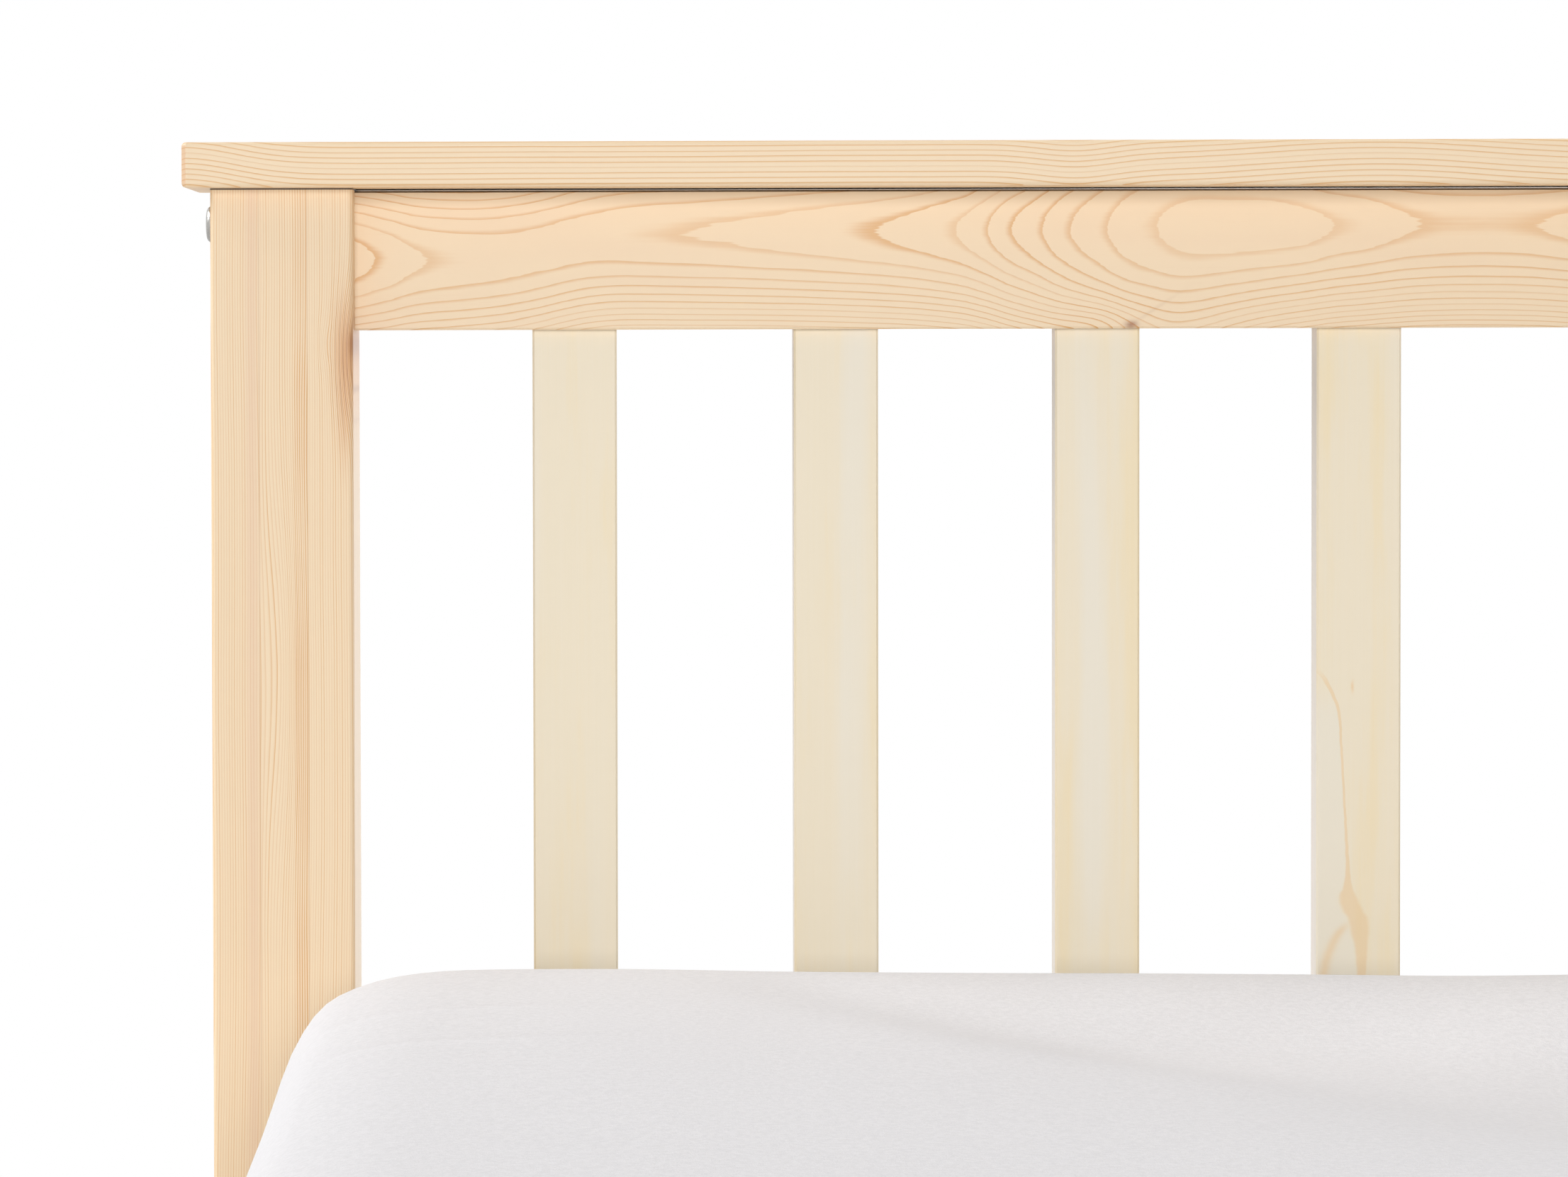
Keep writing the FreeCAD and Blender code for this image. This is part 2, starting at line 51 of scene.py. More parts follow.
class Sheet:
    def __init__(self, tree):
        self.tree = tree

    def put(self, kind, given=None, **settings):
        node = self.tree.nodes.new("ShaderNode" + kind)
        for name, setting in settings.items():
            setattr(node, name, setting)
        for name, item in (given or {}).items():
            if isinstance(item, bpy.types.NodeSocket):
                self.tree.links.new(item, node.inputs[name])
            else:
                node.inputs[name].default_value = item
        return node

    def math(self, operation, *items, clamp=False):
        return self.put("Math", dict(enumerate(items)), operation=operation, use_clamp=clamp).outputs[0]

    def add(self, *items):
        total = items[0]
        for item in items[1:]:
            total = self.math("ADD", total, item)
        return total

    def times(self, *items):
        total = items[0]
        for item in items[1:]:
            total = self.math("MULTIPLY", total, item)
        return total

    def minus(self, first, second):
        return self.math("SUBTRACT", first, second)

    def vector(self, x=0.0, y=0.0, z=0.0):
        return self.put("CombineXYZ", {0: x, 1: y, 2: z}).outputs[0]

    def split(self, vector):
        return self.put("SeparateXYZ", {0: vector}).outputs

    def noise(self, vector, scale=1.0, detail=2.0, roughness=0.5):
        given = {"Vector": vector, "Scale": scale, "Detail": detail, "Roughness": roughness}
        return self.put("TexNoise", given).outputs["Fac"]

    def step(self, item, low, high, toLow=0.0, toHigh=1.0):
        # a smooth ramp from toLow to toHigh as item goes from low to high
        given = {"Value": item, "From Min": low, "From Max": high, "To Min": toLow, "To Max": toHigh}
        return self.put("MapRange", given, interpolation_type="SMOOTHSTEP").outputs["Result"]

    def hill(self, item, centre, width):
        # 1 at the centre, falling away on both sides
        away = self.math("DIVIDE", self.minus(item, centre), width)
        return self.math("EXPONENT", self.times(self.times(away, away), -1))

    def mix(self, share, first, second, blend="MIX"):
        node = self.put("Mix", data_type="RGBA", blend_type=blend)
        for number, item in ((0, share), (6, first), (7, second)):
            if isinstance(item, bpy.types.NodeSocket):
                self.tree.links.new(item, node.inputs[number])
            else:
                node.inputs[number].default_value = item
        return node.outputs[2]

    def spot(self, x, y, place, reach):
        # an oval hill
        return self.times(self.hill(x, place[0], reach[0]), self.hill(y, place[1], reach[1]))

    def cloud(self, places, scales, detail=2.0, roughness=0.5):
        # noise that is stretched differently along each direction
        scaled = [self.times(place, scale) for place, scale in zip(places, scales)]
        return self.noise(self.vector(*scaled), 1, detail, roughness)

    def between(self, item, low, high, soft):
        return self.times(self.step(item, low - soft, low + soft),
                          self.step(item, high - soft, high + soft, 1, 0))

    def curve(self, item, points):
        # a smooth curve through points of (place, level)
        places = [place for place, level in points]
        levels = [level for place, level in points]
        run, base = places[-1] - places[0], min(levels)
        rise = max(levels) - base
        share = self.math("DIVIDE", self.minus(item, places[0]), run, clamp=True)
        node = self.put("FloatCurve", {"Value": share})
        line = node.mapping.curves[0].points
        while len(line) < len(points):
            line.new(0.5, 0.5)
        for dot, (place, level) in zip(line, points):
            dot.location = ((place - places[0]) / run, (level - base) / rise)
            dot.handle_type = "AUTO_CLAMPED"
        node.mapping.update()
        return self.add(self.times(node.outputs[0], rise), base)

    def chance(self, item):
        return self.put("TexWhiteNoise", {"W": item}, noise_dimensions="1D").outputs["Value"]


def newGroup(name, inputs, outputs):
    tree = bpy.data.node_groups.new(name, "ShaderNodeTree")
    for sockets, way in ((inputs, "INPUT"), (outputs, "OUTPUT")):
        for label, kind in sockets.items():
            tree.interface.new_socket(label, in_out=way, socket_type="NodeSocket" + kind)
    sheet = Sheet(tree)
    return sheet, tree.nodes.new("NodeGroupInput").outputs, tree.nodes.new("NodeGroupOutput").inputs


def newMaterial(name, roughness=0.5):
    material = bpy.data.materials.new(name)
    material.use_nodes = True
    sheet = Sheet(material.node_tree)
    surface = material.node_tree.nodes["Principled BSDF"]
    surface.inputs["Roughness"].default_value = roughness
    return material, sheet, surface


def dress(material, *nodes):
    for node in nodes:
        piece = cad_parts[node]
        piece.data.materials.clear()
        piece.data.materials.append(material)


pine = {
    "early": (0.885, 0.700, 0.478, 1),
    "late": (0.715, 0.390, 0.140, 1),
    "blush": (0.790, 0.540, 0.375, 1),   # pinkish heartwood bands
    "knot": (0.330, 0.125, 0.050, 1),
    "heartTint": (0.860, 0.690, 0.560, 1),   # laid over the wood about the knots
    "endGrain": (0.600, 0.330, 0.190, 1),
    "glue": (0.560, 0.330, 0.160, 1),
    # near-black painted shade for the gap under the caps
    "gapShadow": (0.045, 0.030, 0.022, 1),
}
# How the growth rings of all the pine are drawn: scales along and across the grain, and shares.
grainMake = {
    "slow": (2.2, 16), "small": (34, 130), "streak": (16, 900),
    "fibre": (9, 1500), "cloud": (3, 30), "fleck": (160, 2400),
    "smallShift": 0.2, "streakShift": 0.14,      # in rings
    "lateEnd": (0.955, 0.965),                   # where in a ring the late wood is darkest
    "faintest": 0.45,                            # the palest ring's share of the darkest one
    "fibreShare": 0.13, "cloudShare": 0.20, "fleckShare": 0.05,
    "fibreHeight": 0.5, "lateHeight": 0.6,
    "bumpDepth": 0.00006, "bumpStrength": 0.6,
}


def makeGrainGroup():
    # growth rings of a sawn board, read from a running ring number
    sheet, given, out = newGroup(
        "pineGrain",
        {"Along": "Float", "Across": "Float", "Depth": "Float", "Rings": "Float", "Wander": "Float",
         "Line": "Float", "Contrast": "Float", "Early": "Color", "Late": "Color"},
        {"Color": "Color", "Height": "Float"})
    along, across, depth = given["Along"], given["Across"], given["Depth"]
    make = grainMake

    def stretched(name, detail=2.0, roughness=0.5):
        length, width = make[name]
        return sheet.cloud((along, across, depth), (length, width, width), detail, roughness)

    slow, small, streak = stretched("slow", 1), stretched("small"), stretched("streak")
    fibre, cloud, fleck = stretched("fibre", 3, 0.6), stretched("cloud"), stretched("fleck", 1)
    rings = sheet.add(given["Rings"], sheet.times(sheet.minus(slow, 0.5), given["Wander"]),
                      sheet.times(sheet.minus(small, 0.5), make["smallShift"]),
                      sheet.times(sheet.minus(streak, 0.5), make["streakShift"]))
    phase = sheet.math("FRACT", rings)
    darkest, fading = make["lateEnd"]
    rise = sheet.step(phase, sheet.minus(1, given["Line"]), darkest)
    late = sheet.times(rise, rise, sheet.step(phase, fading, 1, 1, 0))
    strength = sheet.step(sheet.chance(sheet.math("FLOOR", rings)), 0, 1, make["faintest"], 1)
    share = sheet.times(late, strength, given["Contrast"])
    share = sheet.add(share, sheet.times(sheet.minus(fibre, 0.5), make["fibreShare"]),
                      sheet.times(sheet.minus(cloud, 0.5), make["cloudShare"]),
                      sheet.times(sheet.step(fleck, 0.66, 0.8), make["fleckShare"]))
    share = sheet.math("MAXIMUM", share, 0, clamp=True)
    sheet.tree.links.new(sheet.mix(share, given["Early"], given["Late"]), out["Color"])
    height = sheet.minus(sheet.times(fibre, make["fibreHeight"]), sheet.times(late, make["lateHeight"]))
    sheet.tree.links.new(height, out["Height"])
    return sheet.tree


grainGroup = makeGrainGroup()


def grain(sheet, along, across, depth, rings, wander, line, contrast):
    node = sheet.put("Group", node_tree=grainGroup)
    given = {"Along": along, "Across": across, "Depth": depth, "Rings": rings, "Wander": wander,
             "Line": line, "Contrast": contrast, "Early": pine["early"], "Late": pine["late"]}
    for name, item in given.items():
        if isinstance(item, bpy.types.NodeSocket):
            sheet.tree.links.new(item, node.inputs[name])
        else:
            node.inputs[name].default_value = item
    return node.outputs["Color"], node.outputs["Height"]


def finishSurface(sheet, surface, color, height, depth, strength):
    sheet.tree.links.new(color, surface.inputs["Base Color"])
    bump = sheet.put("Bump", {"Height": height, "Distance": depth, "Strength": strength})
    sheet.tree.links.new(bump.outputs["Normal"], surface.inputs["Normal"])


def finishWood(sheet, surface, color, height):
    finishSurface(sheet, surface, color, height, grainMake["bumpDepth"], grainMake["bumpStrength"])


def gapShadowLine(sheet, color, z, top):
    # painted shade: a near-black line along the last half millimetre under the cap, standing in for the
    # shadow in the gap there
    return sheet.mix(sheet.step(z, top - 0.9 * mm, top - 0.5 * mm, 0, 0.85), color, pine["gapShadow"])


def objectPlace(sheet):
    return sheet.split(sheet.put("TexCoord").outputs["Object"])


def facing(sheet, axis, least=0.7):
    # 1 on faces that look along an axis, either way
    normal = sheet.split(sheet.put("TexCoord").outputs["Normal"])[axis]
    return sheet.step(sheet.math("ABSOLUTE", normal), least, least + 0.3)


def meshObject(name, shape, material):
    mesh = bpy.data.meshes.new(name)
    shape.to_mesh(mesh)
    shape.free()
    mesh.materials.append(material)
    piece = bpy.data.objects.new(name, mesh)
    bpy.context.scene.collection.objects.link(piece)
    return piece


# A plain-sawn rail, read along its length and down from its upper edge, in metres.
railGrain = {
    "roughness": 0.46,
    # the ring number along the heart line
    "rings": [(-0.500, 3.9), (-0.457, 2.6), (-0.445, 2.0), (-0.4195, 1.0), (-0.383, 0.72),
              (-0.342, 1.0), (-0.2555, 2.0), (-0.2195, 3.0), (-0.2043, 4.0), (-0.1946, 5.0),
              (-0.1826, 6.0), (-0.1717, 7.0), (-0.1569, 8.0), (-0.1386, 9.0), (-0.1006, 9.75),
              (-0.0571, 9.0), (-0.0043, 8.04), (0.0314, 8.4), (0.080, 9.6), (0.130, 10.2),
              (0.190, 9.2), (0.250, 7.2), (0.310, 6.2), (0.370, 6.7), (0.430, 8.2), (0.500, 9.0)],
    "heart": [(-0.500, 0.0280), (-0.420, 0.0278), (-0.345, 0.0178), (-0.200, 0.0165),
              (0.000, 0.0145), (0.180, 0.0240), (0.340, 0.0170), (0.500, 0.0220)],
    "fall": 6700,             # rings per square metre away from the heart line
    "deep": 90,               # rings per metre from front to back
    "wander": 0.15,
    "line": 0.40,
    "contrast": 0.85,
    "blush": (7, 38, 30),     # scales of the pinkish clouds
    "blushShare": 0.14,
    "knot": (-0.1449, 0.0545),
    "knotPull": (-0.138, 0.043, 0.5),
    "crowd": (0.012, (0.020, 0.010)),    # how far left of the knot the rings crowd, and the reach
    "crowdRings": -2.5,
    "crowdContrast": 0.6,
    "core": ((0.0026, 0.0016), 0.8),     # reach and darkness
    "tail": ((0.0014, 0.0060), 0.12),
    "tailLean": 1.5,
}


def makeRailWood(name, top, mirror=1, shift=0.0, capped=True):
    # the ring number falls away from a heart line, and follows a curve along it
    make = railGrain
    material, sheet, surface = newMaterial(name, make["roughness"])
    x, y, z = objectPlace(sheet)
    along = sheet.add(sheet.times(x, mirror), shift)
    down = sheet.minus(top, z)
    away = sheet.minus(down, sheet.curve(along, make["heart"]))
    pullPlace, pullReach, pull = make["knotPull"]
    fall = sheet.times(sheet.minus(1, sheet.times(sheet.hill(along, pullPlace, pullReach), pull)),
                       make["fall"])
    knotX, knotDown = make["knot"]
    left, reach = make["crowd"]
    crowd = sheet.spot(along, down, (knotX - left, knotDown), reach)
    rings = sheet.add(sheet.minus(sheet.curve(along, make["rings"]), sheet.times(away, away, fall)),
                      sheet.times(y, make["deep"]), sheet.times(crowd, make["crowdRings"]))
    contrast = sheet.add(make["contrast"], sheet.times(crowd, make["crowdContrast"]))
    color, height = grain(sheet, x, z, y, rings, make["wander"], make["line"], contrast)
    blush = sheet.step(sheet.cloud((along, down, y), make["blush"]), 0.5, 0.75, 0, make["blushShare"])
    color = sheet.mix(blush, color, pine["blush"])
    reach, coreShade = make["core"]
    core = sheet.spot(along, down, (knotX, knotDown), reach)
    reach, tailShade = make["tail"]
    leaning = sheet.minus(along, sheet.times(sheet.minus(knotDown, down), make["tailLean"]))
    tail = sheet.spot(leaning, down, (knotX, knotDown - reach[1]), reach)
    shade = sheet.add(sheet.times(core, coreShade), sheet.times(tail, tailShade))
    color = sheet.mix(shade, color, pine["knot"])
    # painted shade of the gap under the cap, along the rail's upper edge
    if capped:
        color = gapShadowLine(sheet, color, z, top)
    finishWood(sheet, surface, color, height)
    return material


# The posts, across in shares of their width from the left, and up in metres. A spot is its place,
# its height, its reach both ways and its strength.
postGrain = {
    "roughness": 0.48,
    "seams": (0.339, 0.678),  # glue lines between the staves
    "seam": (0.004, 0.32),    # their half width and darkness
    "across": 54,             # rings over the width
    "deep": 300,              # rings per metre from front to back
    "offset": 40,             # how far apart the staves were cut, in rings
    "lean": (3.5, 14),        # scale and most rings of a slow lean
    "wander": 1.2,
    "line": 0.62,
    "contrast": (0.60, 0.90),
    "bends": [(1.04, 0.780, (0.15, 0.026), 8.0), (0.80, 0.784, (0.05, 0.010), 1.6),
              (0.50, 0.655, (0.12, 0.080), -4.5), (0.10, 0.190, (0.14, 0.050), 6.0)],
    "blush": (0.29, 0.045, 0.42),        # place, half width and share of a pinkish band
    "brown": (0.585, 0.676, 0.012),      # edges of a brown band, and how soft they are
    "brownContrast": 2.2,
    "brownTint": 0.25,
    "darkRings": [(0.97, 0.775, (0.12, 0.026), 1.8)],
    "tints": [(0.955, 0.781, (0.085, 0.020), 1.0), (0.935, 0.752, (0.045, 0.018), 0.55)],
    "pushes": [(1.04, 0.780, (0.15, 0.026), 0.11)],      # these bend the dark lines at the knot
    "pushNoise": (60, 0.016),
    "lines": (24, 0.12),      # dark lines over the width, and their half width
    "lineSpots": [(0.945, 0.776, (0.080, 0.021), 0.75)],
    "cores": [(1.0, 0.784, (0.035, 0.006), 0.7)],
}


def makePostWood():
    # three staves glued side by side, each with close straight grain that bends round the knots
    make = postGrain
    material, sheet, surface = newMaterial("postWood", make["roughness"])
    x, y, z = objectPlace(sheet)
    low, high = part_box("head_post_left")
    side = high.x - low.x
    middle = abs(low.x + high.x) / 2
    right = sheet.math("GREATER_THAN", x, 0)
    inner = sheet.add(sheet.minus(sheet.math("ABSOLUTE", x), middle), side / 2)
    share = sheet.math("DIVIDE", inner, side)
    # read from the left on both posts
    share = sheet.add(sheet.times(right, share),
                      sheet.times(sheet.minus(1, right), sheet.minus(1, share)))

    def spots(name):
        return sheet.add(*[sheet.times(sheet.spot(share, z, (place, height), reach), strength)
                           for place, height, reach, strength in make[name]])

    stave = sheet.add(*[sheet.math("GREATER_THAN", share, seam) for seam in make["seams"]])
    # every stave of every post has a number of its own, and so a mood of its own
    board = sheet.add(stave, sheet.times(right, 3), sheet.times(sheet.math("SIGN", y), 7))
    mood = sheet.chance(board)
    leanScale, mostLean = make["lean"]
    slow = sheet.noise(sheet.vector(0, 0, sheet.add(z, mood)), leanScale, 1)
    lean = sheet.times(sheet.minus(slow, 0.5), sheet.times(mood, mostLean))
    rings = sheet.add(sheet.times(share, make["across"]), sheet.times(y, make["deep"]),
                      sheet.times(mood, make["offset"]), spots("bends"), lean)
    brown = sheet.times(sheet.between(share, *make["brown"]),
                        sheet.step(sheet.noise(sheet.vector(0, 0, z), 9, 2), 0.38, 0.6, 0.35, 1))
    contrast = sheet.add(sheet.step(mood, 0, 1, *make["contrast"]),
                         sheet.times(brown, make["brownContrast"]), spots("darkRings"))
    color, height = grain(sheet, sheet.add(z, sheet.times(mood, 5)), x, y, rings, make["wander"],
                          make["line"], contrast)
    place, width, most = make["blush"]
    color = sheet.mix(sheet.times(sheet.hill(share, place, width), most), color, pine["blush"])
    tint = sheet.math("MINIMUM", sheet.add(spots("tints"), sheet.times(brown, make["brownTint"])), 1)
    color = sheet.mix(tint, color, pine["heartTint"], "MULTIPLY")
    # dark lines that bend round the knot
    scale, most = make["pushNoise"]
    ragged = sheet.noise(sheet.vector(0, sheet.times(share, 30), z), scale, 2)
    pushed = sheet.add(share, spots("pushes"), sheet.times(ragged, most))
    number, width = make["lines"]
    lines = sheet.hill(sheet.math("PINGPONG", sheet.times(pushed, number), 0.5), 0, width)
    color = sheet.mix(sheet.times(lines, spots("lineSpots")), color, pine["knot"])
    color = sheet.mix(spots("cores"), color, pine["knot"])
    width, most = make["seam"]
    glue = sheet.add(*[sheet.hill(share, seam, width) for seam in make["seams"]])
    color = sheet.mix(sheet.times(glue, most), color, pine["glue"])
    # the head and the foot have their caps at different heights
    headJoint, footJoint = (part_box(f"{end}_cap")[0].z for end in ("head", "foot"))
    level = sheet.minus(z, sheet.times(sheet.math("GREATER_THAN", y, 0), headJoint - footJoint))
    # painted shade of the gap under the cap, along the tops of the posts
    color = gapShadowLine(sheet, color, level, footJoint)
    finishWood(sheet, surface, color, height)
    return material


capGrain = {
    "roughness": 0.46,
    "up": 470,                # rings per metre of height
    "deep": 130,              # rings per metre from front to back
    "stretch": 0.6,
    "wander": 2.2,
    "line": 0.5,
    "contrast": 0.85,
    # where the rings dip along the cap: place, reach and rings
    "dips": [("left", 0.030, -3.2), (-0.05, 0.060, -2.2), (-0.17, 0.020, 1.3), ("right", 0.05, 2.6)],
    "endShare": 0.6,          # how much of the end grain's colour its ends take
}


def makeCapWood():
    make = capGrain
    material, sheet, surface = newMaterial("capWood", make["roughness"])
    x, y, z = objectPlace(sheet)
    ends = dict(zip(("left", "right"), (corner.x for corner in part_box("head_cap"))))
    dip = sheet.add(*[sheet.times(sheet.hill(x, ends.get(place, place), reach), turns)
                      for place, reach, turns in make["dips"]])
    rings = sheet.add(sheet.times(z, make["up"]), sheet.times(y, make["deep"]), dip)
    color, height = grain(sheet, sheet.times(x, make["stretch"]), z, y, rings, make["wander"],
                          make["line"], make["contrast"])
    ended = sheet.times(facing(sheet, 0, 0.5), make["endShare"])
    color = sheet.mix(ended, color, pine["endGrain"])
    finishWood(sheet, surface, color, height)
    return material


# The boards under the mattress and at its sides.
boardGrain = {
    "roughness": 0.55,
    "offHeart": 0.08,         # how far beside the heart a board may be cut
    "fall": 5200,             # rings per square metre away from the heart
    "offset": 30,             # how far apart the boards were cut, in rings
    "wander": 3.2,
    "line": 0.45,
    "contrast": 0.6,
}


def makeBoardWood(name, axes, pitch, deep):
    # boards that repeat side by side, each cut from another place in the log
    make = boardGrain
    material, sheet, surface = newMaterial(name, make["roughness"])
    place = dict(zip("xyz", objectPlace(sheet)))
    along, across, depth = (place[axis] for axis in axes)
    board = sheet.math("ROUND", sheet.math("DIVIDE", across, pitch))
    mood = sheet.chance(board)
    inner = sheet.minus(across, sheet.times(board, pitch))
    away = sheet.minus(inner, sheet.times(sheet.minus(mood, 0.5), make["offHeart"]))
    rings = sheet.add(sheet.times(away, away, -make["fall"]), sheet.times(depth, deep),
                      sheet.times(mood, make["offset"]))
    color, height = grain(sheet, sheet.add(along, sheet.times(mood, 9)), inner, depth, rings,
                          make["wander"], make["line"], make["contrast"])
    finishWood(sheet, surface, color, height)
    return material


plywood = {
    "roughness": 0.5,
    "face": (0.865, 0.765, 0.575, 1),
    "pale": (0.845, 0.790, 0.665, 1),
    "streak": (0.880, 0.735, 0.465, 1),
    "stain": (0.840, 0.610, 0.345, 1),
    "edge": (0.950, 0.890, 0.820, 1),
    "glue": (0.640, 0.480, 0.360, 1),
    "wispScales": (60, 10, 5),
    "paleScales": (45, 10, 2.5),
    "fibreScales": (1500, 1500, 12),
    "wispShare": 0.85,
    "paleShare": 0.8,
    "fibreShare": 0.16,
    "fibreHeight": 0.5,
    "plies": 5,
    "crossPly": 0.12,         # how much yellower every second ply is
    "glueLine": (0.06, 0.25), # half width in plies, and darkness
}


def makePlywood():
    make = plywood
    material, sheet, surface = newMaterial("spindlePlywood", make["roughness"])
    x, y, z = objectPlace(sheet)
    low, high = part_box("head_spindle_1")
    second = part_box("head_spindle_2")[0]
    pitch = second.x - low.x
    board = sheet.math("ROUND", sheet.add(sheet.math("DIVIDE", x, pitch), 0.5))
    mood = sheet.chance(board)
    run = sheet.add(z, sheet.times(mood, 7))
    wisps = sheet.cloud((x, y, run), make["wispScales"], 4, 0.6)
    pale = sheet.cloud((x, y, run), make["paleScales"])
    fibre = sheet.cloud((x, y, run), make["fibreScales"])
    color = sheet.mix(sheet.step(wisps, 0.44, 0.68, 0, make["wispShare"]), make["face"], make["streak"])
    color = sheet.mix(sheet.step(pale, 0.5, 0.72, 0, make["paleShare"]), color, make["pale"])
    color = sheet.mix(sheet.times(fibre, make["fibreShare"]), color, make["edge"])
    color = addStain(sheet, color, x, y, z)
    # the plies on the sawn edges
    thickness = high.y - low.y
    depth = sheet.math("DIVIDE", sheet.minus(y, low.y), thickness)
    count = sheet.times(sheet.math("FRACT", depth), make["plies"])
    glueWidth, glueShare = make["glueLine"]
    glue = sheet.hill(sheet.math("PINGPONG", count, 0.5), 0, glueWidth)
    crossPly = sheet.math("MODULO", sheet.math("FLOOR", count), 2)
    edgeColor = sheet.mix(sheet.times(crossPly, make["crossPly"]), make["edge"], make["streak"])
    edgeColor = sheet.mix(sheet.times(glue, glueShare), edgeColor, make["glue"])
    color = sheet.mix(facing(sheet, 0), color, edgeColor)
    finishWood(sheet, surface, color, sheet.times(fibre, make["fibreHeight"]))
    return material


# The brown line and patches on the fourth spindle of the head: height, place from its left edge
# and half width, in metres.
spindleStain = {
    "line": [(0.520, 0.0190), (0.540, 0.0195), (0.550, 0.0190), (0.5537, 0.0172), (0.5628, 0.0138),
             (0.5748, 0.0130), (0.587, 0.0122), (0.605, 0.0112), (0.621, 0.0103), (0.634, 0.0094),
             (0.640, 0.0075), (0.646, 0.0047), (0.653, 0.0000)],
    "width": [(0.520, 0.0010), (0.540, 0.0022), (0.5537, 0.0034), (0.5628, 0.0017),
              (0.5748, 0.0006), (0.610, 0.0004), (0.640, 0.0006), (0.653, 0.0012)],
    "branch": [(0.520, 0.0026), (0.530, 0.0034), (0.538, 0.0056), (0.548, 0.0115), (0.552, 0.0170)],
    "branchWidth": 0.0021,
    "lineFade": (0.645, 0.653),          # heights where each dies out
    "branchFade": (0.545, 0.551),
    "washFade": (0.63, 0.65),
    "washShare": 0.7,
    "wobble": (160, 0.0012),
    "eye": ((0.0145, 0.6445), (0.0006, 0.0022)),
    "lineShare": 0.62,
    "eyeShare": 0.8,
}


def addStain(sheet, color, x, y, z):
    # the brown line on one spindle, with the patches that it runs into lower down
    make = spindleStain
    left, right = (corner.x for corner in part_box("head_spindle_4"))
    scale, most = make["wobble"]
    wobble = sheet.times(sheet.minus(sheet.noise(sheet.vector(0, 0, z), scale, 2), 0.5), most)
    inner = sheet.add(sheet.minus(x, left), wobble)
    here = sheet.times(sheet.math("GREATER_THAN", x, left), sheet.math("LESS_THAN", x, right),
                       sheet.math("GREATER_THAN", y, 0))
    line = sheet.curve(z, make["line"])
    width = sheet.curve(z, make["width"])
    away = sheet.math("DIVIDE", sheet.minus(sheet.add(line, sheet.times(width, -0.6)), inner), width)
    tall = sheet.step(z, *make["lineFade"], 1, 0)
    band = sheet.times(sheet.step(sheet.math("ABSOLUTE", away), 0.8, 1.5, 1, 0), tall)
    branchAway = sheet.minus(inner, sheet.curve(z, make["branch"]))
    branch = sheet.times(sheet.hill(branchAway, 0, make["branchWidth"]),
                         sheet.step(z, *make["branchFade"], 1, 0))
    tan = sheet.times(sheet.math("MAXIMUM", band, branch), here)
    washed = sheet.times(sheet.step(away, 0.5, 2, 0, make["washShare"]),
                         sheet.step(z, *make["washFade"], 1, 0), here)
    color = sheet.mix(washed, color, plywood["pale"])
    eye = sheet.times(sheet.spot(inner, z, *make["eye"]), here)
    color = sheet.mix(sheet.times(tan, make["lineShare"]), color, plywood["stain"])
    return sheet.mix(sheet.times(eye, make["eyeShare"]), color, plywood["stain"])


metal = {
    "color": (0.45, 0.44, 0.42, 1),
    "mottle": 900,
    "roughness": (0.22, 0.42),
}


def makeMetal():
    material, sheet, surface = newMaterial("platedSteel", 0.3)
    surface.inputs["Base Color"].default_value = metal["color"]
    surface.inputs["Metallic"].default_value = 1
    place = sheet.put("TexCoord").outputs["Object"]
    mottle = sheet.noise(place, metal["mottle"], 2)
    sheet.tree.links.new(sheet.step(mottle, 0.3, 0.7, *metal["roughness"]), surface.inputs["Roughness"])
    return material


def makePlain(name, color, roughness, scale):
    # one colour, a little mottled
    material, sheet, surface = newMaterial(name, roughness)
    mottle = sheet.noise(sheet.put("TexCoord").outputs["Object"], scale, 3)
    darker = tuple(0.8 * level for level in color[:3]) + (1,)
    mixed = sheet.mix(sheet.times(mottle, 0.5), color, darker)
    finishSurface(sheet, surface, mixed, mottle, 0.0002, 0.5)
    return material


# The finishes of the small parts: colour, roughness and scale of the mottle.
smallParts = {
    "glidePlastic": ((0.75, 0.75, 0.73, 1), 0.5, 300),
    "webbing": ((0.60, 0.58, 0.52, 1), 0.9, 1500),
}
# Boards: the axes along, across and through them, their pitch across and their rings per metre.
boards = {
    "sideRailWood": ("yzx", 2.0, 700),
    "ledgerWood": ("yzx", 0.4, 500),
    "slatWood": ("xyz", None, 400),      # the pitch is read from the slats
    "legWood": ("zxy", 2.0, 500),
}
bottomRail = {"start": 20 * mm, "shift": 0.060}      # how its grain differs from the top rail's


def dressFrame():
    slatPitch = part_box("bed_slat_02")[0].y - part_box("bed_slat_01")[0].y
    posts, caps, spindles = makePostWood(), makeCapWood(), makePlywood()
    for end, mirror in (("head", 1), ("foot", -1)):
        top, bottom = (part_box(f"{end}_{place}_rail")[1].z for place in ("top", "bottom"))
        dress(makeRailWood(f"{end}TopRailWood", top, mirror), f"{end}_top_rail")
        dress(makeRailWood(f"{end}BottomRailWood", bottom - bottomRail["start"], -mirror,
                           bottomRail["shift"], capped=False), f"{end}_bottom_rail")
        dress(posts, f"{end}_post_left", f"{end}_post_right")
        dress(caps, f"{end}_cap")
        dress(spindles, *[f"{end}_spindle_{number}" for number in range(1, 9)])
    wood = {name: makeBoardWood(name, axes, pitch or slatPitch, deep)
            for name, (axes, pitch, deep) in boards.items()}
    dress(wood["sideRailWood"], "side_rail_left", "side_rail_right")
    dress(wood["ledgerWood"], "ledger_left", "ledger_right", "centre_rail")
    dress(wood["slatWood"], *[f"bed_slat_{number:02d}" for number in range(1, 14)])
    dress(wood["legWood"], "centre_legs")
    dress(steel, "barrel_nuts", "centre_rail_hangers")
    dress(makePlain("glidePlastic", *smallParts["glidePlastic"]), "glides")
    dress(makePlain("webbing", *smallParts["webbing"]), "slat_strap_left", "slat_strap_right")


# Bolts and screws, turned on Z with their heads upwards.

